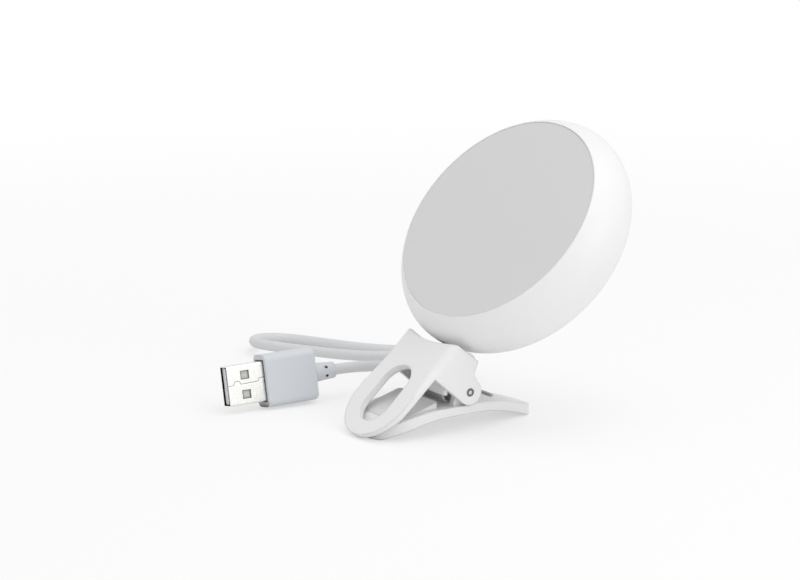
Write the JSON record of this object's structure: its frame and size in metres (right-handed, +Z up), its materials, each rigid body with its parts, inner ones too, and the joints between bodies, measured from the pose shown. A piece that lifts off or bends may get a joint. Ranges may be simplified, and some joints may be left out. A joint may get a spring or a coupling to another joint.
{
  "type": "clip-on selfie light",
  "caption": "Round LED selfie light on a sprung clip, with a tilting and turning neck, a rear push button and a separate USB charging lead.",
  "frame": {"origin": "middle of the light and its clip at floor level, left out the charging lead", "axes": "+Z up from the floor that the clip rests on; +X from the clip's jaws to its handle; Y across the clip, whose plane of symmetry is y = 0"},
  "size_m": [0.1364, 0.1534, 0.0858],
  "materials": {
    "white_plastic": "fine satin moulding",
    "lamp_white": "smooth satin moulding",
    "opal": "opal diffusing acrylic, matt",
    "reflector_white": "smooth white",
    "soft_white": "soft matt rubber",
    "dark_steel": "drawn spring wire",
    "steel": "turned and plated",
    "board_green": "solder mask",
    "led_yellow": "phosphor face in a white body",
    "cell_silver": "pouch foil",
    "foam_grey": "foam tape",
    "chip_black": "moulded package",
    "button_grey": "satin, dished",
    "lead_red": "insulated wire",
    "cable_grey": "satin flexible jacket",
    "plug_grey": "satin overmould",
    "plug_steel": "nickel plated shell",
    "contact_gold": "gold plated",
    "tongue_white": "moulded insulator"
  },
  "bodies": {
    "lower": {"lower_lever": "white_plastic", "lower_pad": "soft_white", "pivot_pin": "steel", "torsion_spring": "dark_steel", "cord": "cable_grey", "usb_a_shell": "plug_steel", "usb_a_tongue": "tongue_white", "usb_a_contacts": "contact_gold", "usb_a_housing": "plug_grey", "usb_a_relief": "plug_grey", "micro_housing": "plug_grey", "micro_relief": "plug_grey", "micro_shell": "plug_steel", "micro_tongue": "tongue_white"},
    "upper": {"upper_lever": "white_plastic", "upper_pad": "soft_white"},
    "neck": {"neck_post": "white_plastic", "neck_washer": "steel", "neck_screw": "steel"},
    "button": {"power_button": "button_grey"},
    "lamp": {"casing": "lamp_white", "diffuser": "opal", "reflector_tray": "reflector_white", "led_board": "board_green", "leds": "led_yellow", "tray_screws": "steel", "battery": "cell_silver", "battery_pad": "foam_grey", "control_board": "board_green", "board_chips": "chip_black", "usb_socket": "plug_steel", "tact_switch": "chip_black", "board_screws": "steel", "battery_leads": "lead_red", "led_leads": "lead_red", "tilt_pin": "steel"}
  },
  "joints": [
    {"name": "clip_open", "type": "hinge", "parent": "lower", "child": "upper", "pos_m": [-0.01097, 0, 0.01205], "axis": [0, 1, 0], "range_deg": [0, 16], "stiffness_Nm_per_rad": 0.25, "springref_deg": -40.11, "deforming": ["torsion_spring"]},
    {"name": "lamp_swivel", "type": "hinge", "parent": "upper", "child": "neck", "pos_m": [-0.01089, 0, 0.02025], "axis": [0.6476, 0, 0.762], "continuous": true},
    {"name": "lamp_tilt", "type": "hinge", "parent": "neck", "child": "lamp", "pos_m": [-0.0055, 0, 0.02659], "axis": [0.0845, -0.9938, -0.0718], "range_deg": [-20, 12]},
    {"name": "power_press", "type": "slide", "parent": "lamp", "child": "button", "axis": [-0.7573, -0.1109, 0.6436], "range_m": [0, 0.0003], "stiffness_N_per_m": 600, "springref_m": -0.001}
  ]
}
